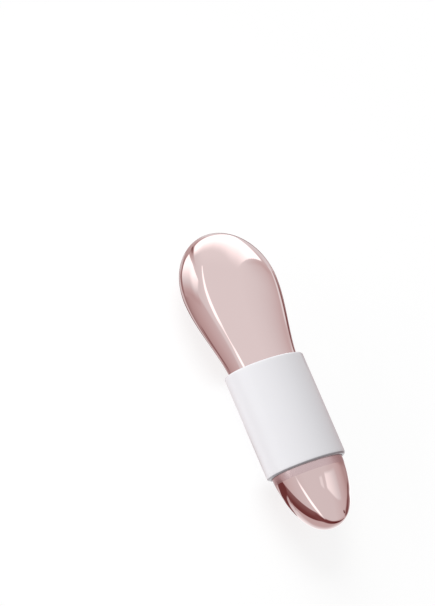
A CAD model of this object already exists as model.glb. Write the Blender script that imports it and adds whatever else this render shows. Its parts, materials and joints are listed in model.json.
import json
import math

import bmesh
import bpy
import numpy as np
from mathutils import Euler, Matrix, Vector


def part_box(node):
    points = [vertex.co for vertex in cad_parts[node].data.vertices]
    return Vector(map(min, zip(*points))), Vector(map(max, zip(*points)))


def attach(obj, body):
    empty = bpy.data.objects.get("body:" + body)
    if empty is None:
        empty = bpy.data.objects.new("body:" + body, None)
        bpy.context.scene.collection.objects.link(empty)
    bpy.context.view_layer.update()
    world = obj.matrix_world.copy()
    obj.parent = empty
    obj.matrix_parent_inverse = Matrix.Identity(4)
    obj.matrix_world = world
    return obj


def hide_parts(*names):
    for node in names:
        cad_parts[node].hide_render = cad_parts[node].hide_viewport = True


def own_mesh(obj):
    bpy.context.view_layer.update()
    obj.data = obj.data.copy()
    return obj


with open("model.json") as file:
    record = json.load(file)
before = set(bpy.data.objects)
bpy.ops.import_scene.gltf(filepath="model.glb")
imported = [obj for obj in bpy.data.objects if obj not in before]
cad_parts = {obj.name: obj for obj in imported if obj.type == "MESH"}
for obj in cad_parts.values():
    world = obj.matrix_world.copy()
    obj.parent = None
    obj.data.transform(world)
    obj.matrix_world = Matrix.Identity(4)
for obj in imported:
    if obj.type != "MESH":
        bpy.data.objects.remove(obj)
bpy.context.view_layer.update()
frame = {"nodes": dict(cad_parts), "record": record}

print("frame loaded:", len(frame["nodes"]), "CAD nodes")


# places, all taken from the frame
def nodeBox(node):
    low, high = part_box(node)
    return np.array(low), np.array(high)


paddleLow, paddleHigh = nodeBox("paddle_head")
tipLow, tipHigh = nodeBox("tip_head")
sleeveLow, sleeveHigh = nodeBox("grip_sleeve")
buttonLow, buttonHigh = nodeBox("power_button")
lightLow, lightHigh = nodeBox("light_pipe")
padLow, padHigh = nodeBox("button_pad")
dockLow, dockHigh = nodeBox("dock_seat")
contactLow, contactHigh = nodeBox("dock_contacts")

axisZ = (sleeveLow[2] + sleeveHigh[2]) / 2
sleeveHalf = (sleeveHigh - sleeveLow)[[0, 2]] / 2  # half width, half thickness
buttonY = (buttonLow[1] + buttonHigh[1]) / 2
lightY = (lightLow[1] + lightHigh[1]) / 2
dockY = (dockLow[1] + dockHigh[1]) / 2


# meshes from whole arrays
def gridFaces(rows, columns, wrapRows=False, wrapColumns=True, first=0):
    # quads between neighbouring rows and columns of a grid numbered row by row
    row = np.arange(rows if wrapRows else rows - 1)
    column = np.arange(columns if wrapColumns else columns - 1)
    r, c = np.meshgrid(row, column, indexing="ij")
    rNext = (r + 1) % rows
    cNext = (c + 1) % columns
    corners = (r * columns + c, r * columns + cNext, rNext * columns + cNext, rNext * columns + c)
    return first + np.stack(corners, axis=-1)


def addObject(name, data):
    made = bpy.data.objects.new(name, data)
    bpy.context.scene.collection.objects.link(made)
    return made


def plainPiece(name, points, faces):
    # an object of quads, shaded smooth
    mesh = bpy.data.meshes.new(name)
    mesh.from_pydata(points.reshape(-1, 3).tolist(), [], faces.reshape(-1, 4).tolist())
    mesh.shade_smooth()
    return addObject(name, mesh)


def meshPiece(name, points, faces, sharpAngle=32.0, weldReach=1e-7):
    # welds seams and poles, turns the faces outwards and shades smooth up to the sharp angle
    piece = plainPiece(name, points, faces)
    mesh = piece.data
    work = bmesh.new()
    work.from_mesh(mesh)
    bmesh.ops.remove_doubles(work, verts=work.verts, dist=weldReach)
    bmesh.ops.delete(work, geom=[v for v in work.verts if not v.link_faces], context="VERTS")
    bmesh.ops.recalc_face_normals(work, faces=work.faces)
    if work.calc_volume(signed=True) < 0:
        bmesh.ops.reverse_faces(work, faces=work.faces)
    work.to_mesh(mesh)
    work.free()
    mesh.set_sharp_from_angle(angle=math.radians(sharpAngle))
    return piece


def ovalRows(y, halfWidth, halfThickness, around):
    # each row is an ellipse across the wand: x = a cos t, z = axis + b sin t, at its own y
    t = 2 * np.pi * np.arange(around) / around
    x = halfWidth[:, None] * np.cos(t)[None, :]
    z = axisZ + halfThickness[:, None] * np.sin(t)[None, :]
    return np.stack([x, np.broadcast_to(y[:, None], x.shape), z], axis=-1)


def rimOf(top, bottom, left, right):
    # the rows and columns of the points round a block of cells, once round
    columns = np.arange(left, right)
    lines = np.arange(top, bottom)
    rows = [np.full(len(columns), top), lines, np.full(len(columns), bottom), lines[::-1] + 1]
    across = [columns, np.full(len(lines), right), columns[::-1] + 1, np.full(len(lines), left)]
    return np.concatenate(rows), np.concatenate(across)


def openWindows(points, faces, outerRows, innerRows, windows):
    # takes matching blocks of cells out of a shell's two walls and joins their rims by quads; a
    # window is (first row, last row, first column, last column), and outer row i faces inner row i
    grid = np.arange(points.shape[0] * points.shape[1]).reshape(points.shape[:2])
    keep = np.ones(faces.shape[:2], bool)
    sides = []
    for top, bottom, left, right in windows:
        row, column = rimOf(top, bottom, left, right)
        outer = grid[outerRows[row], column]
        inner = grid[innerRows[row], column]
        sides.append(np.stack([outer, np.roll(outer, -1), np.roll(inner, -1), inner], -1))
        keep[outerRows[top]:outerRows[bottom], left:right] = False
        keep[innerRows[bottom]:innerRows[top], left:right] = False
    return np.concatenate([faces[keep], *sides])


def bezier(start, pullOut, pullIn, end, t):
    # a cubic curve in the plane of (half width, y)
    a, b, c, d = (np.array(p)[None, :] for p in (start, pullOut, pullIn, end))
    t = t[:, None]
    return a * (1 - t) ** 3 + 3 * b * t * (1 - t) ** 2 + 3 * c * t**2 * (1 - t) + d * t**3


def dress(piece, slot, body, *nodes, finish=None):
    # gives a piece its slot's finish or another, its body and the CAD nodes it stands for
    piece.data.materials.append(finish or finishes[slot])
    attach(piece, body)
    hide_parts(*nodes)
    return piece


# shader arithmetic
class Wire:
    # an output socket; arithmetic on it adds the Math node that works it out
    def __init__(self, shading, socket):
        self.shading = shading
        self.socket = socket

    def __add__(self, other):
        return self.shading.math("ADD", self, other)

    def __mul__(self, other):
        return self.shading.math("MULTIPLY", self, other)

    def __sub__(self, other):
        return self.shading.math("SUBTRACT", self, other)

    def __rsub__(self, other):
        return self.shading.math("SUBTRACT", other, self)

    __radd__ = __add__
    __rmul__ = __mul__


class Shading:
    # a node tree, and the one way that nodes are added to it
    def __init__(self, tree):
        self.tree = tree
        tree.nodes.clear()

    def node(self, kind, settings=None, inputs=None, output=0):
        made = self.tree.nodes.new(kind)
        for key, value in (settings or {}).items():
            setattr(made, key, value)
        for key, value in (inputs or {}).items():
            if isinstance(value, Wire):
                self.tree.links.new(value.socket, made.inputs[key])
            else:
                made.inputs[key].default_value = value
        return Wire(self, made.outputs[output]) if made.outputs else made

    def math(self, operation, *values):
        return self.node("ShaderNodeMath", {"operation": operation}, dict(enumerate(values)))

    def smooth(self, value, low, high):
        # 0 below low, 1 above high, and an S-shaped rise between
        return self.node(
            "ShaderNodeMapRange",
            {"interpolation_type": "SMOOTHSTEP"},
            {"Value": value, "From Min": low, "From Max": high},
        )

    def mix(self, factor, a, b):
        return self.node(
            "ShaderNodeMix",
            {"data_type": "RGBA"},
            {0: factor, 6: self.colour(a), 7: self.colour(b)},
            output=2,
        )

    def colour(self, value):
        return value if isinstance(value, Wire) else (*value, 1.0)

    def noise(self, vector, scale, detail=2.0, stretch=None):
        if stretch:
            vector = self.node("ShaderNodeMapping", {}, {"Vector": vector, "Scale": stretch})
        inputs = {"Vector": vector, "Scale": scale, "Detail": detail, "Roughness": 0.5}
        return self.node("ShaderNodeTexNoise", {}, inputs)

    def place(self):
        # object coordinates
        return self.node("ShaderNodeTexCoord", output=3)

    def split(self, vector):
        parts = self.node("ShaderNodeSeparateXYZ", {}, {0: vector})
        return [Wire(self, output) for output in parts.socket.node.outputs]

    def bump(self, height, strength, distance):
        inputs = {"Height": height, "Strength": strength, "Distance": distance}
        return self.node("ShaderNodeBump", {}, inputs)

    def ray(self, kind):
        return self.node("ShaderNodeLightPath", output=kind)

    def matte(self, colour):
        return self.node("ShaderNodeBsdfDiffuse", {}, {"Color": self.colour(colour)})

    def glow(self, colour, strength=1.0):
        inputs = {"Color": self.colour(colour), "Strength": strength}
        return self.node("ShaderNodeEmission", {}, inputs)

    def blend(self, factor, a, b):
        return self.node("ShaderNodeMixShader", {}, {0: factor, 1: a, 2: b})

    def show(self, shader, kind="Material"):
        self.node("ShaderNodeOutput" + kind, {}, {"Surface": shader})

    def surface(self, **inputs):
        # a Principled shader; an input's name is its socket's, with _ for a space
        sockets = {key.replace("_", " "): value for key, value in inputs.items()}
        self.show(self.node("ShaderNodeBsdfPrincipled", {}, sockets))


def newMaterial(name):
    material = bpy.data.materials.new(name)
    material.use_nodes = True
    return material, Shading(material.node_tree)


# finishes
roseGold = {
    "colour": (0.765, 0.615, 0.597),
    "warmColour": (0.755, 0.603, 0.583),
    "toneScale": 38.0,
    "roughness": 0.022,
    "hazeRoughness": 0.02,        # what the uneven haze adds to the roughness at most
    "hazeScale": 90.0,
    "fineScale": 1400.0,
    "collarColour": (0.655, 0.51, 0.51),
    "collarRoughness": 0.22,
    "collarLength": 0.0031,       # how much of the satin ring shows below the sleeve
    "collarBlur": 0.00006,
}


def makeRoseGold(name, collarEnd=None):
    # mirror polish with a faint uneven haze; above collarEnd it may keep a satin ring
    material, s = newMaterial(name)
    place = s.place()
    haze = s.noise(place, roseGold["hazeScale"], detail=4.0)
    fine = s.noise(place, roseGold["fineScale"])
    tone = s.noise(place, roseGold["toneScale"])
    colour = s.mix(tone, roseGold["colour"], roseGold["warmColour"])
    roughness = roseGold["roughness"] + roseGold["hazeRoughness"] * haze * fine
    if collarEnd is not None:
        blur = roseGold["collarBlur"]
        ring = s.smooth(s.split(place)[1], collarEnd - blur, collarEnd + blur)
        colour = s.mix(ring, colour, roseGold["collarColour"])
        roughness = roughness + ring * roseGold["collarRoughness"]
    s.surface(Base_Color=colour, Metallic=1.0, Roughness=roughness)
    return material


whiteShell = {
    "colour": (0.83, 0.822, 0.85),
    "shade": (0.805, 0.797, 0.825),
    "toneScale": 45.0,
    "roughness": 0.26,
    "grainRoughness": 0.10,
    "grainScale": 5200.0,
    "grainStrength": 0.12,
    "grainDepth": 0.00002,
    "sheen": 0.5,
    "sheenRoughness": 0.2,
    "edgeColour": (0.33, 0.315, 0.335),
    "edgeLength": 0.0008,         # how much of the sleeve's tail edge is dark
    "edgeBlur": (-0.0003, 0.0001),
}


def makeWhiteShell():
    # satin moulding: a very fine spark texture, a slow change of tone and a dark line round the
    # sleeve's tail edge
    material, s = newMaterial("satin_white")
    place = s.place()
    grain = s.noise(place, whiteShell["grainScale"])
    tone = s.noise(place, whiteShell["toneScale"], detail=3.0)
    white = s.mix(tone, whiteShell["colour"], whiteShell["shade"])
    edgeY = sleeveLow[1] + whiteShell["edgeLength"]
    below, above = whiteShell["edgeBlur"]
    clean = s.smooth(s.split(place)[1], edgeY + below, edgeY + above)
    s.surface(
        Base_Color=s.mix(clean, whiteShell["edgeColour"], white),
        Roughness=whiteShell["roughness"] + whiteShell["grainRoughness"] * grain,
        Normal=s.bump(grain, whiteShell["grainStrength"], whiteShell["grainDepth"]),
        Coat_Weight=whiteShell["sheen"],
        Coat_Roughness=whiteShell["sheenRoughness"],
    )
    return material


# how a kind of surface varies: its slow change of tone, and what its grain does
moulding = {
    "metallic": 0.0,
    "toneScale": 70.0,
    "toneDetail": 3.0,
    "grainScale": 2600.0,
    "grainStretch": None,
    "grainRoughness": 0.12,
    "grainStrength": 0.25,
    "grainDepth": 0.00002,
}
foamGrain = {**moulding, "grainScale": 1500.0, "grainDepth": 0.0002}
metal = {
    "metallic": 1.0,
    "toneScale": 120.0,
    "toneDetail": 2.0,
    "grainScale": 1800.0,
    "grainStretch": (1.0, 1.0, 1.0),
    "grainRoughness": 0.15,
    "grainStrength": 0.15,
    "grainDepth": 0.00001,
}
drawnMetal = {**metal, "grainStretch": (1.0, 0.05, 1.0)}


def makeGrained(name, kind, colour, shade, roughness):
    material, s = newMaterial(name)
    place = s.place()
    grain = s.noise(place, kind["grainScale"], detail=3.0, stretch=kind["grainStretch"])
    tone = s.noise(place, kind["toneScale"], kind["toneDetail"])
    s.surface(
        Base_Color=s.mix(tone, colour, shade),
        Metallic=kind["metallic"],
        Roughness=roughness + kind["grainRoughness"] * grain,
        Normal=s.bump(grain, kind["grainStrength"], kind["grainDepth"]),
    )
    return material


clearMoulding = {
    "colour": (0.93, 0.95, 0.98),
    "shade": (0.97, 0.98, 1.0),
    "rippleScale": 900.0,
    "roughness": 0.08,
    "rippleRoughness": 0.05,
    "transmission": 0.85,
    "refraction": 1.49,
}


def makeClear():
    material, s = newMaterial("clear_moulding")
    ripple = s.noise(s.place(), clearMoulding["rippleScale"])
    s.surface(
        Base_Color=s.mix(ripple, clearMoulding["colour"], clearMoulding["shade"]),
        Roughness=clearMoulding["roughness"] + clearMoulding["rippleRoughness"] * ripple,
        Transmission_Weight=clearMoulding["transmission"],
        IOR=clearMoulding["refraction"],
    )
    return material


def printedSurface(s, look, track):
    # tracks of another colour that stand a little out of their ground
    s.surface(
        Base_Color=s.mix(track, look["colour"], look["track"]),
        Roughness=look["roughness"] + look["trackRoughness"] * track,
        Coat_Weight=look["sheen"],
        Normal=s.bump(track, look["trackStrength"], look["trackDepth"]),
    )


board = {
    "colour": (0.012, 0.10, 0.045),
    "track": (0.03, 0.19, 0.075),
    "waves": (6200.0, 5200.0),    # across and along, in radians for each metre
    "patchScale": 260.0,
    "patchEdge": (0.48, 0.52),
    "trackEdge": (0.35, 0.6),
    "roughness": 0.30,
    "trackRoughness": 0.1,
    "trackStrength": 0.3,
    "trackDepth": 0.00003,
    "sheen": 0.0,
}


def makeBoard():
    # green mask over copper tracks that run in two directions
    material, s = newMaterial("board_mask")
    place = s.place()
    x, y = s.split(place)[:2]
    across = s.math("SINE", x * board["waves"][0])
    along = s.math("SINE", y * board["waves"][1])
    choice = s.smooth(s.noise(place, board["patchScale"], detail=1.0), *board["patchEdge"])
    track = s.smooth(across * choice + along * (1 - choice), *board["trackEdge"])
    printedSurface(s, board, track)
    return material


film = {
    "colour": (0.52, 0.20, 0.02),
    "track": (0.30, 0.12, 0.03),
    "wave": 3400.0,               # along the film, in radians for each metre
    "trackEdge": (0.1, 0.4),
    "roughness": 0.22,
    "trackRoughness": 0.08,
    "trackStrength": 0.4,
    "trackDepth": 0.00003,
    "sheen": 0.3,
}


def makeFilm():
    # amber film with the heater's track showing through as a meander
    material, s = newMaterial("heater_film")
    y = s.split(s.place())[1]
    printedSurface(s, film, s.smooth(s.math("SINE", y * film["wave"]), *film["trackEdge"]))
    return material


# a row is the record's slot, then the finish's name, kind, colour, shade and lowest roughness
plainFinishes = (
    ("core_plastic", "core_moulding", moulding, (0.36, 0.37, 0.39), (0.32, 0.33, 0.35), 0.42),
    ("silicone", "silicone", moulding, (0.60, 0.60, 0.62), (0.54, 0.54, 0.57), 0.48),
    ("foam", "foam", foamGrain, (0.022, 0.022, 0.024), (0.040, 0.040, 0.043), 0.80),
    ("cell_foil", "cell_foil", metal, (0.46, 0.47, 0.49), (0.40, 0.41, 0.43), 0.28),
    ("chip_black", "chip_black", moulding, (0.012, 0.012, 0.013), (0.02, 0.02, 0.022), 0.45),
    ("steel", "zinc_steel", drawnMetal, (0.56, 0.56, 0.58), (0.50, 0.50, 0.53), 0.22),
    ("contact_gold", "contact_gold", metal, (0.90, 0.62, 0.24), (0.86, 0.58, 0.22), 0.16),
    ("magnet_nickel", "magnet_nickel", metal, (0.60, 0.58, 0.55), (0.55, 0.53, 0.50), 0.20),
    ("bead_white", "sensor_bead", moulding, (0.70, 0.69, 0.64), (0.66, 0.64, 0.58), 0.35),
    ("dock_plastic", "dock_moulding", moulding, (0.66, 0.66, 0.69), (0.62, 0.62, 0.65), 0.34),
    ("lead_white", "lead_white", moulding, (0.72, 0.72, 0.70), (0.66, 0.66, 0.64), 0.42),
    ("lead_blue", "lead_blue", moulding, (0.03, 0.09, 0.34), (0.03, 0.07, 0.28), 0.42),
    ("lead_black", "lead_black", moulding, (0.014, 0.014, 0.015), (0.022, 0.022, 0.023), 0.42),
    ("lead_red", "lead_red", moulding, (0.40, 0.012, 0.012), (0.34, 0.010, 0.010), 0.42),
    ("solder", "solder", metal, (0.66, 0.66, 0.67), (0.58, 0.58, 0.60), 0.20),
    ("weight_metal", "sintered_weight", metal, (0.45, 0.42, 0.36), (0.38, 0.36, 0.31), 0.42),
)
finishes = {slot: makeGrained(*values) for slot, *values in plainFinishes}
finishes["board_laminate"] = makeBoard()
finishes["heater_amber"] = makeFilm()
finishes["clear_plastic"] = makeClear()
finishes["white_shell"] = makeWhiteShell()
finishes["rose_gold"] = makeRoseGold("rose_gold_paddle")
tipMetal = makeRoseGold("rose_gold_tip", sleeveLow[1] - roseGold["collarLength"])
print("finishes ready:", len(finishes))

for subpart in frame["record"]["subparts"]:
    node = frame["nodes"][subpart["node"]]
    node.data.materials.clear()
    node.data.materials.append(finishes[subpart["material_slot"]])
print("CAD nodes finished")


# paddle head
paddle = {
    "wall": 0.0014,
    "capLength": 0.0245,          # from the apex to the widest place
    "neckHalf": 0.0173,
    "neckRunIn": 0.0035,          # how far inside the sleeve's edge the neck turns straight
    "latchY": (0.0022, -0.0002),
    "latchColumns": 10,           # columns each side of the middle
    "rings": 90,                  # in the cap, and again in the shoulder
    "innerRings": 24,
    "around": 256,
}


def ovalOf(low, high, inset):
    # half the width of a box, and its thickness as a share of its width, drawn in by the inset
    halfWidth, _, halfThickness = (high - low) / 2 - inset
    return halfWidth, halfThickness / halfWidth


def paddleProfile(inset, rings):
    # a quarter ellipse from the apex to the widest place, then an S-shaped cubic into the neck
    # and a straight skirt; every width is drawn in by the inset
    halfWidth, flatness = ovalOf(paddleLow, paddleHigh, inset)
    neckHalf = paddle["neckHalf"] - inset
    capY = paddleHigh[1] - paddle["capLength"]
    neckY = sleeveHigh[1] - paddle["neckRunIn"]
    turn = np.linspace(0, np.pi / 2, rings)
    capWidth = halfWidth * np.sin(turn)
    cap = np.stack([capWidth, capY + (paddle["capLength"] - inset) * np.cos(turn)], -1)
    pull = (capY - neckY) / 3
    shoulder = bezier(
        (halfWidth, capY),
        (halfWidth, capY - pull),
        (neckHalf, neckY + pull),
        (neckHalf, neckY),
        np.linspace(0, 1, rings)[1:],
    )
    skirt = np.array([[neckHalf, y] for y in (*paddle["latchY"], paddleLow[1])])
    return np.concatenate([cap, shoulder, skirt]), flatness


def makeShell(name, profile, settings):
    # a wall between an outer and an inner profile, with a latch window in the front and the back
    # of its skirt; a skirt's three places are the latch's two and the end
    outerLine, outerFlatness = profile(0.0, settings["rings"])
    innerLine, innerFlatness = profile(settings["wall"], settings["innerRings"])
    halfWidth = np.concatenate([outerLine[:, 0], innerLine[::-1, 0]])
    flatness = np.repeat([outerFlatness, innerFlatness], [len(outerLine), len(innerLine)])
    y = np.concatenate([outerLine[:, 1], innerLine[::-1, 1]])
    around = settings["around"]
    points = ovalRows(y, halfWidth, halfWidth * flatness, around)
    edge = len(outerLine)
    outerRows = np.array([edge - 3, edge - 2])
    innerRows = np.array([edge + 2, edge + 1])
    half = settings["latchColumns"]
    middles = (around // 4, 3 * around // 4)
    windows = [(0, 1, middle - half, middle + half) for middle in middles]
    faces = openWindows(points, gridFaces(len(y), around), outerRows, innerRows, windows)
    return meshPiece(name, points, faces)


paddleShell = makeShell("paddle_shell", paddleProfile, paddle)
dress(paddleShell, "rose_gold", "housing", "paddle_head")
print("paddle head done")


# tip head
tip = {
    "wall": 0.0014,
    "runIn": 0.002,               # where the curve starts, inside the sleeve's edge
    "shoulder": 0.0107,           # how far the curve is pulled at its wide end
    "bluntHalf": 0.014,           # and at the blunt end
    "latchY": (-0.0346, -0.0322),
    "latchColumns": 9,
    "rings": 150,
    "innerRings": 40,
    "crowding": 1.25,             # over 1 sets the rings closer near the blunt end
    "around": 240,
}


def tipProfile(inset, rings):
    # one cubic from the blunt end to the straight skirt, drawn in by the inset
    halfWidth, flatness = ovalOf(tipLow, tipHigh, inset)
    blunt = tip["bluntHalf"] * halfWidth / (halfWidth + inset)
    startY = sleeveLow[1] + tip["runIn"]
    apexY = tipLow[1] + inset
    curve = bezier(
        (0.0, apexY),
        (blunt, apexY),
        (halfWidth, startY - tip["shoulder"]),
        (halfWidth, startY),
        np.linspace(0, 1, rings) ** tip["crowding"],
    )
    skirt = np.array([[halfWidth, y] for y in (*tip["latchY"], tipHigh[1])])
    return np.concatenate([curve, skirt]), flatness


tipShell = makeShell("tip_shell", tipProfile, tip)
dress(tipShell, "rose_gold", "housing", "tip_head", finish=tipMetal)
print("tip head done")


# grip sleeve
sleeve = {
    "edgeRound": 0.0009,
    "tailRound": 0.0012,
    "leadIn": 0.0003,
    "grooveY": (0.002, 0.004),
    "grooveHalf": (0.0183, 0.0115175),
    "roomHalf": (0.01835, 0.01115),
    "mouthHalf": (0.01745, 0.01066),
    "mouthDepth": 0.008,
    "buttonHole": 0.00435,
    "lightHole": 0.00075,
    "dockHole": 0.00515,
    "rimRound": 0.00022,
    "around": 240,
    "bendRows": 9,                # round each end
    "wallRows": (8, 2, 22, 6, 22, 12),
    "patchColumns": 14,           # columns each side of the middle that a hole's patch takes
    "patchAbove": 0.0016,         # from the button's hole to its patch's edge
    "patchBelow": 0.0008,         # from the dock's hole to its patch's edge
    "patchRings": 8,
    "rimRings": 6,
}


def backSurface(x, half):
    # the height of the sleeve's back wall: axis - b sqrt(1 - (x / a)^2)
    return axisZ - half[1] * np.sqrt(1 - (x / half[0]) ** 2)


def quarter(count):
    # the sine and cosine of equal steps round a quarter turn
    return [(math.sin(a), math.cos(a)) for a in np.linspace(0, np.pi / 2, count)]


def holeRings(outerRim, innerRim, centre, radius, outerHalf, innerHalf):
    # rings from a rectangle on the outer wall in to the hole, over its rounded rim, through the
    # wall and out again to the same rectangle on the inner wall
    def circle(reach):
        way = outerRim[:, :2] - centre
        return centre + reach * way / np.linalg.norm(way, axis=1, keepdims=True)

    def ring(flat, half, depth=0.0):
        return np.concatenate([flat, backSurface(flat[:, 0], half)[:, None] + depth], axis=1)

    rim = sleeve["rimRound"]
    start = circle(radius + rim)
    end = circle(radius)
    shares = np.linspace(0, 1, sleeve["patchRings"])
    rings = [ring((1 - share) * outerRim[:, :2] + share * start, outerHalf) for share in shares]
    for sine, cosine in quarter(sleeve["rimRings"])[1:]:
        rings.append(ring(circle(radius + rim * (1 - sine)), outerHalf, rim * (1 - cosine)))
    for share in shares:
        rings.append(ring((1 - share) * end + share * innerRim[:, :2], innerHalf))
    return np.stack(rings)


def straightRows(y, half):
    return np.stack([y, np.full_like(y, half[0]), np.full_like(y, half[1])], -1)


def bentRows(y, reach, half):
    # a quarter circle from the straight wall's last place round to the sleeve's end
    bend = np.linspace(0, np.pi / 2, sleeve["bendRows"])
    inset = abs(reach) * (1 - np.cos(bend))
    return np.stack([y + reach * np.sin(bend), *(half[:, None] - inset)], -1)


def sleeveRows(outerHalf, roomHalf):
    # down the outer wall and up the inside; a row is (y, half width, half thickness). Also the
    # first row of each wall, and the rows down a wall where each hole's patch starts and ends
    edge = sleeve["edgeRound"]
    tailEdge = sleeve["tailRound"]
    lead = sleeve["leadIn"]
    mouthHalf = np.array(sleeve["mouthHalf"])
    topY = sleeveHigh[1]
    bottomY = sleeveLow[1]
    stepY = topY - sleeve["mouthDepth"]
    stops = [
        topY - edge,
        stepY,
        buttonY + sleeve["buttonHole"] + sleeve["patchAbove"],
        (buttonY - sleeve["buttonHole"] + lightY + sleeve["lightHole"]) / 2,
        (lightY - sleeve["lightHole"] + dockY + sleeve["dockHole"]) / 2,
        dockY - sleeve["dockHole"] - sleeve["patchBelow"],
        bottomY + tailEdge,
    ]
    counts = sleeve["wallRows"]
    spans = [np.linspace(a, b, n + 1)[:-1] for a, b, n in zip(stops, stops[1:], counts)]
    wallY = np.append(np.concatenate(spans), stops[-1])
    patchRows = np.concatenate([[0], np.cumsum(counts)])

    topBend = bentRows(stops[0], edge, outerHalf)[::-1]
    bottomBend = bentRows(stops[-1], -tailEdge, outerHalf)
    tail = np.array([
        [bottomY, roomHalf[0] + lead, roomHalf[1] + lead],
        [bottomY + lead, roomHalf[0], roomHalf[1]],
    ])
    inside = wallY[::-1]
    room = inside[inside <= stepY + 1e-9]
    grooveLow, grooveHigh = sleeve["grooveY"]
    mouth = np.array([
        [stepY, *mouthHalf],
        [grooveLow, *mouthHalf],
        [grooveLow, *sleeve["grooveHalf"]],
        [grooveHigh, *sleeve["grooveHalf"]],
        [grooveHigh, *mouthHalf],
        [topY - lead, *mouthHalf],
        [topY, *(mouthHalf + lead)],
    ])
    outerWall = [topBend[:-1], straightRows(wallY, outerHalf), bottomBend[1:]]
    rows = np.concatenate([*outerWall, tail, straightRows(room, roomHalf), mouth])
    outerFirst = len(topBend) - 1
    innerFirst = outerFirst + len(wallY) + len(bottomBend) - 1 + len(tail)
    return rows, outerFirst, innerFirst, patchRows


def makeSleeve():
    # cells are taken out of both walls behind each hole, and rings put in their place
    around = sleeve["around"]
    roomHalf = np.array(sleeve["roomHalf"])
    rows, outerFirst, innerFirst, patchRows = sleeveRows(sleeveHalf, roomHalf)
    innerLast = innerFirst + patchRows[-1]
    points = ovalRows(*rows.T, around)
    faces = gridFaces(len(rows), around, wrapRows=True)
    middle = round(0.75 * around)
    left = middle - sleeve["patchColumns"]
    right = middle + sleeve["patchColumns"]
    keep = np.ones(faces.shape[:2], bool)
    allPoints = [points.reshape(-1, 3)]
    allFaces = []
    count = len(rows) * around
    holes = (
        (2, buttonY, sleeve["buttonHole"]),
        (3, lightY, sleeve["lightHole"]),
        (4, dockY, sleeve["dockHole"]),
    )
    for band, centreY, radius in holes:
        top, bottom = patchRows[band:band + 2]
        rimRow, rimColumn = rimOf(top, bottom, left, right)
        outerRim = points[outerFirst + rimRow, rimColumn]
        innerRim = points[innerLast - rimRow, rimColumn]
        centre = np.array([0.0, centreY])
        rings = holeRings(outerRim, innerRim, centre, radius, sleeveHalf, roomHalf)
        keep[outerFirst + top:outerFirst + bottom, left:right] = False
        keep[innerLast - bottom:innerLast - top, left:right] = False
        allPoints.append(rings.reshape(-1, 3))
        allFaces.append(gridFaces(*rings.shape[:2], first=count).reshape(-1, 4))
        count += rings.shape[0] * rings.shape[1]
    allFaces.append(faces[keep])
    return meshPiece("sleeve_shell", np.concatenate(allPoints), np.concatenate(allFaces))


dress(makeSleeve(), "white_shell", "housing", "grip_sleeve")
print("grip sleeve done")


# button, pad, dock and contacts: turned forms, some of which follow the sleeve's curve
def turnedPiece(name, centreX, centreY, rows, around, wrapRows=False):
    # a row is (radius, height, follow): a circle whose height also drops with the sleeve's back,
    # by follow times b (1 - sqrt(1 - (x / a)^2))
    radius, height, follow = np.array(rows).T
    t = 2 * np.pi * np.arange(around) / around
    x = centreX + radius[:, None] * np.cos(t)[None, :]
    y = centreY + radius[:, None] * np.sin(t)[None, :]
    sag = backSurface(x, sleeveHalf) - sleeveLow[2]
    z = height[:, None] + follow[:, None] * sag
    return meshPiece(name, np.stack([x, y, z], -1), gridFaces(len(rows), around, wrapRows))


button = {
    "radius": 0.0042,
    "edgeRound": 0.0003,
    "dishDepth": 0.00035,
    "dishRadius": 0.0032,
    "flangeRadius": 0.0052,
    "flangeGap": 0.002,           # from the face to the flange
    "postRadius": 0.0015,
    "postLength": 0.00245,
    "dishRings": 16,
    "edgeRings": 8,
    "around": 160,
}


def makeButton():
    # the dished face, the rounded edge, the flange that holds the cap in and the post behind it
    face = buttonLow[2]
    flangeFace = face + button["flangeGap"]
    flangeTop = buttonHigh[2] - button["postLength"]
    dish = np.linspace(0, 1, button["dishRings"])
    dishHeight = face + button["dishDepth"] * np.cos(dish * np.pi / 2) ** 2
    small = button["edgeRound"]
    flat = button["radius"] - small
    rows = [(button["dishRadius"] * r, h, 1.0) for r, h in zip(dish, dishHeight)]
    rows += [
        (flat + small * sine, face + small * (1 - cosine), 1.0)
        for sine, cosine in quarter(button["edgeRings"])
    ]
    rows += [
        (button["radius"], flangeFace, 1.0),
        (button["flangeRadius"], flangeFace, 1.0),
        (button["flangeRadius"], flangeTop, 0.0),
        (button["postRadius"], flangeTop, 0.0),
        (button["postRadius"], buttonHigh[2], 0.0),
        (0.0, buttonHigh[2], 0.0),
    ]
    return turnedPiece("button_cap", 0.0, buttonY, rows, button["around"])


dress(makeButton(), "white_shell", "button", "power_button")

pad = {
    "holeRadius": 0.0022,
    "edgeRound": 0.00015,
    "pressedShare": 0.36,         # how much of its thickness is left under a pressed button
    "edgeRings": 5,
    "around": 96,
}


def makePad():
    # the silicone ring between the button's flange and the core, with rounded edges
    small = pad["edgeRound"]
    outer = (padHigh[0] - padLow[0]) / 2 - small
    hole = pad["holeRadius"] + small
    top = padHigh[2] - small
    turns = quarter(pad["edgeRings"])
    lower = [(small * sine, padLow[2] + small * (1 - cosine)) for sine, cosine in turns]
    upper = [(small * cosine, top + small * sine) for sine, cosine in turns]
    rows = [(outer + out, height, 0.0) for out, height in lower + upper]
    rows += [(hole - out, height, 0.0) for out, height in upper[::-1] + lower[::-1]]
    return turnedPiece("pad_ring", 0.0, buttonY, rows, pad["around"], wrapRows=True)


padRing = dress(makePad(), "silicone", "housing", "button_pad")
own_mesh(padRing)

dock = {
    "radius": 0.0045,
    "rim": 0.0006,
    "depth": 0.0012,
    "rimRound": 0.00018,
    "floorRound": 0.0003,
    "flangeRadius": 0.0058,
    "flangeGap": 0.0018,          # from the rim to the flange
    "edgeRings": 6,
    "around": 160,
}


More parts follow.
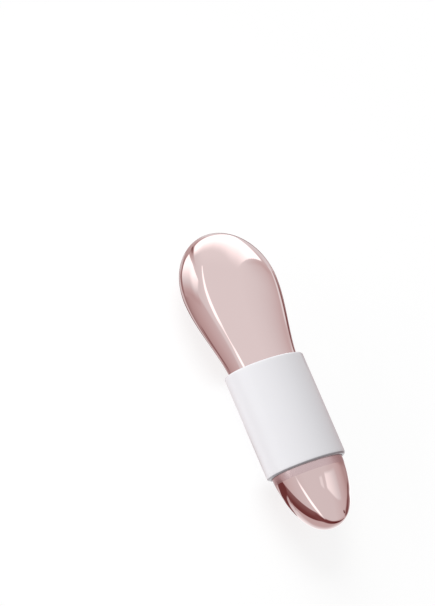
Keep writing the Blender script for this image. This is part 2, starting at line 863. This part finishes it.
def makeDock():
    # a dished floor, a rounded rim that follows the sleeve, and the flange behind it
    face = sleeveLow[2]
    floor = face + dock["depth"]
    radius = dock["radius"]
    outer = radius + dock["rim"]
    small = dock["rimRound"]
    low = dock["floorRound"]
    turns = [(1 - sine, 1 - cosine) for sine, cosine in quarter(dock["edgeRings"])]
    rows = [(0.0, floor, 0.0), (radius / 2, floor, 0.0)]
    rows += [(radius - low * far, floor - low * near, 0.0) for far, near in turns]
    rows += [(radius + small * near, face + small * far, 1.0) for far, near in turns]
    rows += [(outer - small * far, face + small * near, 1.0) for far, near in turns]
    rows += [
        (outer, face + dock["flangeGap"], 1.0),
        (dock["flangeRadius"], face + dock["flangeGap"], 1.0),
        (dock["flangeRadius"], dockHigh[2], 0.0),
        (0.0, dockHigh[2], 0.0),
    ]
    return turnedPiece("dock_cup", 0.0, dockY, rows, dock["around"])


contact = {
    "dome": 0.00012,
    "domeRings": 8,
    "around": 64,
}


def makeContact(name, side):
    # a gold pin with a shallow dome that stands just clear of the dock's floor
    radius = (contactHigh[1] - contactLow[1]) / 2
    centreX = side * (contactHigh[0] - radius)
    floor = sleeveLow[2] + dock["depth"]
    turns = quarter(contact["domeRings"])
    rows = [(radius * sine, floor - contact["dome"] * cosine, 0.0) for sine, cosine in turns]
    rows += [(radius, contactHigh[2], 0.0), (0.0, contactHigh[2], 0.0)]
    return turnedPiece(name, centreX, dockY, rows, contact["around"])


dress(makeDock(), "dock_plastic", "housing", "dock_seat")
for side, name in ((-1, "contact_left"), (1, "contact_right")):
    dress(makeContact(name, side), "contact_gold", "housing", "dock_contacts")
print("button and dock done")


# camera
shot = {
    "location": (-0.69617, -0.15841, 0.65196),
    "turn": (31.455, -37.712, -29.182),
    "focalLength": 142.57,
    "sensorWidth": 36.0,
    "clip": (0.01, 50.0),
}
shotTurn = Euler([math.radians(a) for a in shot["turn"]])


def makeCamera():
    data = bpy.data.cameras.new("shot")
    data.lens = shot["focalLength"]
    data.sensor_width = shot["sensorWidth"]
    data.clip_start, data.clip_end = shot["clip"]
    camera = addObject("shot", data)
    camera.location = Vector(shot["location"]) + Vector((0, 0, axisZ))
    camera.rotation_euler = shotTurn
    bpy.context.scene.camera = camera


makeCamera()


# the studio: a round tent that only reflections see
# a place on the tent is (degrees to the right, degrees up) from its middle, measured along great
# circles from its centre, so 90 is the ring beside the wand and 180 is straight behind it
tent = {
    "radius": 0.26,
    "rings": 360,
    "around": 480,
    "wallLevel": 0.93,
    "farLevel": 0.3,
    "farRing": (166, 178),        # where the level straight behind takes over
    "rosy": 0.14,
    "cool": 0.02,
}


def rise(value, low, high):
    # 0 below low, 1 above high, and an S-shaped rise between
    share = np.clip((value - low) / (high - low), 0, 1)
    return share * share * (3 - 2 * share)


class TentPaint:
    # one level of light for each point of the tent's mesh, laid on coat by coat
    def __init__(self, angle, turn):
        self.x = angle * np.cos(turn)
        self.y = angle * np.sin(turn)
        self.level = np.full(self.x.shape, tent["wallLevel"])

    def lay(self, mask, level):
        self.level = self.level + mask * (level - self.level)

    def stroke(self, level, soft, *points):
        self.lay(self.ribbon(soft, *points), level)

    def across(self, *points):
        # a level that changes from left to right; a point is (x, level)
        return np.interp(self.x, *zip(*points))

    def upwards(self, *points):
        # a level that changes from below to above; a point is (y, level)
        return np.interp(self.y, *zip(*points))

    def panel(self, *corners):
        # a convex panel: the product of one soft edge per side; a corner is (x, y, softness of
        # the side that leaves it), and the corners run anticlockwise
        mask = 1.0
        for (x0, y0, soft), (x1, y1, _) in zip(corners, corners[1:] + corners[:1]):
            length = math.hypot(x1 - x0, y1 - y0)
            inside = ((self.y - y0) * (x1 - x0) - (self.x - x0) * (y1 - y0)) / length
            mask = mask * rise(inside, -soft, soft)
        return mask

    def ribbon(self, soft, *points):
        # a ribbon along straight runs, a soft step of the distance to the nearest run; a point is
        # (x, y, half width there)
        nearest = np.full(self.x.shape, 360.0)
        for (x0, y0, half0), (x1, y1, half1) in zip(points, points[1:]):
            length = math.hypot(x1 - x0, y1 - y0)
            along = ((self.x - x0) * (x1 - x0) + (self.y - y0) * (y1 - y0)) / length**2
            share = np.clip(along, 0, 1)
            gap = np.hypot(self.x - x0 - share * (x1 - x0), self.y - y0 - share * (y1 - y0))
            nearest = np.minimum(nearest, gap - half0 - share * (half1 - half0))
        return 1 - rise(nearest, -soft, soft)

    def colour(self):
        # dim paint is rosy, and bright paint is neutral
        dim = rise(self.level, -0.15, 0.1) * (1 - rise(self.level, 0.45, 0.95))
        red = self.level + tent["rosy"] * dim
        blue = self.level + tent["cool"] * rise(self.level, 0.4, 0.9)
        return np.stack([red, self.level, blue, np.ones_like(red)], -1)


def paintWalls(room):
    # the walls and the softboxes that the paddle sees, with dim gaps between them
    x, y = room.x, room.y
    # the side wall, with two darker uprights near its edge
    side = room.across(
        (-165, 0.04), (-156, 0.10), (-150, 0.40), (-145, 0.72), (-136, 0.74), (-130, 0.50),
        (-124, 0.22), (-117, 0.33), (-105, 0.40), (-95, 0.45), (-75, 0.51), (-55, 0.58),
        (-38, 0.64), (-26, 0.72),
    )
    room.lay(1 - rise(x, -40, -14), 0.85)
    room.lay(1 - rise(x + np.minimum(y, 20), -41, -29), side)
    rim = room.across(
        (-160, 0.06), (-150, 0.14), (-140, 0.22), (-132, 0.26), (-126, 0.38), (-118, 0.60),
        (-106, 0.66),
    )
    room.lay(rise(y, 34, 52) * (1 - rise(x, -112, -104)), rim)
    # the right-hand wall, dimmer towards the edge and upwards
    wall = room.across(
        (50, 0.93), (65, 0.90), (75, 0.87), (85, 0.82), (95, 0.76), (105, 0.69), (116, 0.60)
    )
    wall = wall - 0.17 * rise(y, 55, 95) * rise(x, 50, 78)
    room.lay(rise(x, 44, 56), wall)
    # the left softbox, brightest towards its upper right-hand corner
    box = room.upwards(
        (-4, 0.50), (5, 0.49), (15, 0.60), (25, 0.78), (35, 0.98), (45, 1.22), (55, 1.52),
        (62, 1.66),
    )
    edge = room.upwards((2, 0.04), (15, 0.2), (25, 0.32), (35, 0.38), (45, 0.42), (56, 0.12))
    leftBox = room.panel(
        (-116, -4, 4), (-50, -4, 3), (-31, 46, 1.2), (-45, 59, 1.2), (-53, 69, 1.2),
        (-60, 80, 1.2), (-68, 89, 1.5), (-90, 74, 1.8), (-102, 59, 2), (-112, 42, 3),
    )
    room.lay(leftBox, box + rise(x, -70, -50) * edge)
    # the top softbox, whose lower side fades out along an arc
    foot = room.across(
        (-45, 76), (-35, 79), (-20, 84), (0, 87), (15, 85), (25, 80), (35, 71), (55, 60)
    )
    crown = room.across((-45, 93), (-35, 99), (-25, 108), (0, 115), (15, 114), (45, 110), (60, 97))
    topBox = room.panel(
        (-43, 66, 3), (60, 56, 3), (84, 99, 1.5), (72, 109, 1.5), (59, 118, 1.5), (47, 127, 1.5),
        (32, 137, 1.5), (13, 143, 2), (-2, 138, 2), (-18, 131, 2), (-34, 122, 2), (-47, 114, 2),
        (-58, 105, 1.5),
    )
    room.lay(rise(y, 60, 92) * rise(x, -50, -20) * (1 - rise(x, 40, 60)), 0.98)
    room.lay(topBox * rise(y, foot, crown), 1.72)
    # a rounded shade that cuts its lower right-hand corner, with a darker rim
    shade = room.panel(
        (46, 40, 12), (130, 40, 3), (130, 80, 3), (84, 97.5, 0.7), (72, 93, 0.7), (62, 87, 0.8),
        (54, 79, 1.5), (47, 68, 5),
    )
    room.lay(shade, wall)
    shadeRim = room.ribbon(5, (62, 80, 1), (72, 86, 3), (84, 90, 4), (98, 84, 2))
    room.lay(shade * shadeRim, wall - 0.08)
    # the dim gap round both softboxes
    gap = room.across(
        (-128, 0.17), (-112, 0.18), (-100, 0.22), (-90, 0.36), (-78, 0.50), (-66, 0.34),
        (-56, 0.44), (-44, 0.56),
    )
    room.stroke(
        gap, 2.2, (-126, 8, 3.5), (-125, 24, 3.5), (-121, 37, 3.5), (-112, 52, 4), (-102, 67, 4),
        (-90, 80, 4), (-75, 89, 4), (-66, 98, 5), (-56, 112, 5.5), (-44, 124, 5), (-34, 132, 4.5),
    )
    between = room.upwards((58, 0.84), (68, 0.72), (78, 0.58), (88, 0.36), (98, 0.24))
    room.stroke(
        between, 1.8, (-66, 98, 5), (-60, 90, 5), (-53, 78, 4), (-46, 68, 3.5), (-39, 60, 2)
    )
    room.stroke(0.10, 2, (-68, 102, 2), (-63, 94, 2), (-58, 86, 0.5))
    room.stroke(0.80, 3, (-36, 131, 4), (-22, 138, 6), (-6, 146, 7), (14, 150, 7), (28, 147, 6))
    room.stroke(
        0.80, 3, (28, 147, 6), (46, 137, 7), (64, 127, 7), (84, 115, 7), (99, 103, 6), (104, 96, 2)
    )


def paintOutline(room):
    # the far wall, which draws the paddle's dark outline, with light lines inside it
    room.stroke(0.74, 2.5, (-143, 32, 6), (-134, 57, 6.5), (-119, 81, 6.5), (-105, 98, 3))
    room.stroke(
        0.11, 3, (-158, 36, 3), (-150, 66, 5), (-137, 91, 5), (-117, 115, 6), (-92, 134, 7),
        (-62, 150, 9), (-30, 160, 12), (0, 164, 13), (30, 161, 12), (60, 150, 9), (84, 142, 6),
    )
    room.stroke(
        0.16, 3, (84, 144, 6), (102, 130, 7), (118, 117, 8), (133, 102, 9), (145, 85, 9),
        (152, 66, 10),
    )
    # the right-hand edge: a light line, then a dark one
    room.stroke(
        0.95, 1.6, (98, 98, 1.5), (107, 92, 2.4), (115, 80, 3), (121, 68, 3.2), (127, 55, 3.4)
    )
    edge = room.upwards((60, 0.05), (75, 0.08), (95, 0.22), (106, 0.48), (114, 0.74))
    room.stroke(
        edge, 1.6, (103, 113, 1.5), (107, 106, 2.5), (115, 96, 3.4), (123, 86, 4), (129, 76, 4.6),
        (135, 66, 5), (140, 54, 5),
    )
    # the strip light
    strip = room.upwards((-6, 1.1), (-2, 1.5), (4, 1.72))
    room.stroke(
        strip, 1.0, (-19.5, 62, 0.8), (-18.5, 48, 1.8), (-16.5, 28, 3), (-15, 12, 4),
        (-13.5, 2, 4), (-12, -3, 1.2),
    )


def paintLower(room):
    # what the tip sees: a light wall, a dark flag with both ends bent down, and the floor
    x, y = room.x, room.y
    # the line between what the paddle sees and what the tip sees
    line = room.across(
        (-120, -62), (-90, -50), (-50, -26), (-20, -9), (0, 1.5), (20, 12), (40, 21), (60, 28),
        (90, 31), (120, 36), (160, 44),
    )
    below = 1 - rise(y - line, -0.6, 0.6)
    wall = room.across(
        (-50, 0.52), (-25, 0.66), (-5, 0.72), (15, 0.77), (30, 0.81), (75, 0.80), (86, 0.74),
        (96, 0.68), (105, 0.63), (115, 0.53), (125, 0.40),
    )
    room.lay(below, wall)
    # the window on that wall
    window = room.panel((71, 5, 1.5), (88, -10, 3), (99, -14, 3), (99, 20, 1.5), (74, 18, 1.2))
    room.lay(window, room.across((72, 1.24), (80, 1.14), (90, 0.94), (98, 0.76)))
    room.lay(room.panel((60, 7, 1), (65, 4, 1), (67, 15.5, 1), (61.5, 14, 1)), 1.02)
    room.stroke(0.26, 3, (104, 29, 3), (118, 24, 4), (131, 16, 5), (141, 4, 4), (147, -10, 4))
    # the floor, brighter away from the wand
    reach = y - 14 * rise(np.abs(x - 15), 20, 60)
    places = (-150, -132, -122, -110, -102, -90, -60)
    floorLevel = np.interp(reach, places, (1.18, 1.12, 1.02, 0.88, 0.70, 0.57, 0.57))
    room.lay(below * (1 - rise(y, -64, -58)), floorLevel)
    patch = room.panel((-66, -110, 5), (-40, -104, 6), (-40, -84, 5), (-52, -76, 3), (-66, -80, 4))
    room.lay(patch, 0.86)
    # the flag: a band, its right end and its left end
    flag = room.panel(
        (-58, -72, 2), (-8, -66.5, 2), (34, -65, 3), (41, -50, 4), (28, -37, 1), (-12, -33.5, 1),
        (-56, -31, 2),
    )
    room.lay(flag, room.upwards((-60, 0.055), (-52, 0.07), (-46, 0.105), (-36, 0.15)))
    rightEnd = room.across((30, 0.08), (60, 0.045), (75, 0.015), (98, 0.03))
    room.stroke(
        rightEnd, 3, (26, -51, 9), (40, -56, 8.5), (54, -64, 8), (68, -70, 7.5), (84, -75, 5.5),
        (98, -77, 3),
    )
    leftEnd = room.upwards((-164, 0.42), (-150, 0.24), (-124, 0.10), (-112, 0.055))
    room.stroke(
        leftEnd, 1.5, (-53, -37, 6), (-62, -47, 9), (-74, -60, 10.5), (-80, -74, 10),
        (-80.5, -94, 9.5), (-77, -108, 9.5), (-67, -121, 8), (-56, -134, 7), (-44, -147, 6),
        (-24, -158, 5), (0, -164, 4),
    )
    room.stroke(
        0.42, 4, (-97, -60, 3), (-100, -90, 4), (-90, -118, 4), (-80, -132, 5), (-64, -148, 6)
    )
    room.stroke(0.62, 4, (-40, -158, 3), (0, -165, 4), (40, -158, 3))
    room.stroke(0.42, 1, (-52, -60, 0.4), (-50, -70, 1), (-52, -82, 1.6))
    # the dark far wall that outlines the tip
    room.stroke(
        0.12, 3, (-106, -48, 3), (-117, -78, 6), (-114, -106, 7), (-102, -126, 7), (-84, -142, 6),
        (-58, -156, 5), (-30, -164, 4),
    )
    # on its right an arch over a bright gap, and the gap's far side
    room.stroke(
        0.10, 4, (110, -78, 5), (113, -60, 9), (115, -46, 8), (121, -31, 7), (130, -20, 6),
        (139, -18, 5),
    )
    room.stroke(0.34, 3, (139, -17, 5), (147, -28, 4), (150, -44, 3))
    room.stroke(0.56, 5, (106, -84, 5), (114, -92, 5), (108, -104, 4))
    room.stroke(1.10, 3, (133, -34, 2), (134, -44, 3), (146, -48, 8), (148, -70, 8))
    room.stroke(
        1.60, 1.6, (134.5, -50, 1.5), (135, -64, 4.5), (132, -80, 6), (126, -94, 6),
        (118, -108, 7), (110, -120, 6),
    )
    room.stroke(0.0, 1.0, (100.5, -39, 1.6), (103, -50, 1.8))
    # the strip light again
    strip = room.upwards((-52, 0.5), (-38, 1.5), (-24, 1.75), (-8, 1.6), (2, 0.9))
    room.stroke(
        strip, 1.2, (8, 2, 1.2), (11, -3, 2.2), (18, -12, 3.2), (26, -23, 3.4), (33, -33, 3),
        (43, -50, 1.3),
    )


def makeTent():
    # rings round the back axis: centre + r (sin a (cos t right + sin t up) + cos a back)
    right, up, back = np.array(shotTurn.to_matrix()).T
    angle = np.linspace(0, 180, tent["rings"] + 1)[:, None]
    turn = (2 * np.pi * np.arange(tent["around"]) / tent["around"])[None, :]
    flat = np.cos(turn)[..., None] * right + np.sin(turn)[..., None] * up
    sine = np.sin(np.radians(angle))[..., None]
    cosine = np.cos(np.radians(angle))[..., None]
    points = np.array([0, 0, axisZ]) + tent["radius"] * (sine * flat + cosine * back)
    walls = plainPiece("reflection_tent", points, gridFaces(tent["rings"] + 1, tent["around"]))
    room = TentPaint(angle, turn)
    paintWalls(room)
    paintOutline(room)
    paintLower(room)
    # one plain level round the point straight behind, where all the paint would meet
    room.lay(rise(angle, *tent["farRing"]), tent["farLevel"])
    paint = walls.data.color_attributes.new("paint", "FLOAT_COLOR", "POINT")
    paint.data.foreach_set("color", room.colour().ravel())
    material, s = newMaterial("tent_paint")
    seen = s.node("ShaderNodeAttribute", {"attribute_name": "paint"})
    s.show(s.glow(seen))
    material.cycles.emission_sampling = "NONE"
    walls.data.materials.append(material)
    walls.visible_camera = False
    walls.visible_diffuse = False
    walls.visible_transmission = False
    walls.visible_shadow = False


makeTent()

roomLight = 0.46


def makeRoom():
    # plain light for the matt surfaces, and white wherever the picture looks past the floor
    world = bpy.data.worlds.new("room")
    world.use_nodes = True
    bpy.context.scene.world = world
    s = Shading(world.node_tree)
    direct = s.math("MAXIMUM", s.ray("Is Camera Ray"), s.ray("Is Transmission Ray"))
    level = roomLight + (1 - roomLight) * direct
    glow = s.node("ShaderNodeBackground", {}, {"Color": (1, 1, 1, 1), "Strength": level})
    s.show(glow, "World")


makeRoom()

lamps = {
    "left": {"location": (-0.65, -0.05, 0.15), "size": (0.8, 0.26), "power": 1.8},
    "front": {"location": (-0.166, 0.677, 0.50), "size": (0.6, 0.6), "power": 4.5},
    "under": {"location": (-0.25, 0.0, -0.55), "size": (0.5, 0.5), "power": 1.8},
}


def makeLamp(name, settings):
    data = bpy.data.lights.new(name, "AREA")
    data.shape = "RECTANGLE"
    data.size, data.size_y = settings["size"]
    data.energy = settings["power"]
    lamp = addObject(name, data)
    lamp.location = settings["location"]
    aim = Vector((0, 0, axisZ)) - lamp.location
    lamp.rotation_euler = aim.to_track_quat("-Z", "Y").to_euler()
    lamp.visible_glossy = False


for name, settings in lamps.items():
    makeLamp(name, settings)


# floor
ground = {
    "size": 4.0,
    "cells": 60,
    "curl": 0.4,                  # how high its far edge would stand at a radius of its size
    "clearance": 0.0002,
    "colour": (0.86, 0.86, 0.86),
    "speck": (0.84, 0.84, 0.84),
    "speckScale": 30.0,
    "seenColour": (0.30, 0.30, 0.30),
    "seenGlow": 0.76,
    "whiteReach": (0.07, 0.2),    # where the eye starts to see plain white, and sees only that
}


def makeGround():
    # flat to the eye, with an edge that curls up far away: z = curl (r / size)^8 - clearance; it
    # is clear from below and keeps no light off the wand's underside, so that the button's side
    # shows too
    count = ground["cells"] + 1
    span = np.linspace(-ground["size"] / 2, ground["size"] / 2, count)
    x, y = np.meshgrid(span, span, indexing="ij")
    z = ground["curl"] * (np.sqrt(x**2 + y**2) / ground["size"]) ** 8 - ground["clearance"]
    faces = gridFaces(count, count, wrapColumns=False)[..., ::-1]
    floor = plainPiece("floor", np.stack([x, y, z], axis=-1), faces)
    material, s = newMaterial("studio_floor")
    speck = s.noise(s.place(), ground["speckScale"])
    matte = s.matte(s.mix(speck, ground["colour"], ground["speck"]))
    dim = s.matte(ground["seenColour"])
    lifted = s.node("ShaderNodeAddShader", {}, {0: dim, 1: s.glow((1, 1, 1), ground["seenGlow"])})
    reach = s.node("ShaderNodeVectorMath", {"operation": "LENGTH"}, {0: s.place()}, output=1)
    seen = s.blend(s.smooth(reach, *ground["whiteReach"]), lifted, s.glow((1, 1, 1)))
    lit = s.blend(s.ray("Is Camera Ray"), matte, seen)
    below = s.node("ShaderNodeNewGeometry", output="Backfacing")
    s.show(s.blend(below, lit, s.node("ShaderNodeBsdfTransparent")))
    floor.data.materials.append(material)
    floor.visible_glossy = False
    floor.visible_diffuse = False
    floor.visible_shadow = False


makeGround()
bpy.context.scene.view_settings.view_transform = "Standard"
print("studio ready")
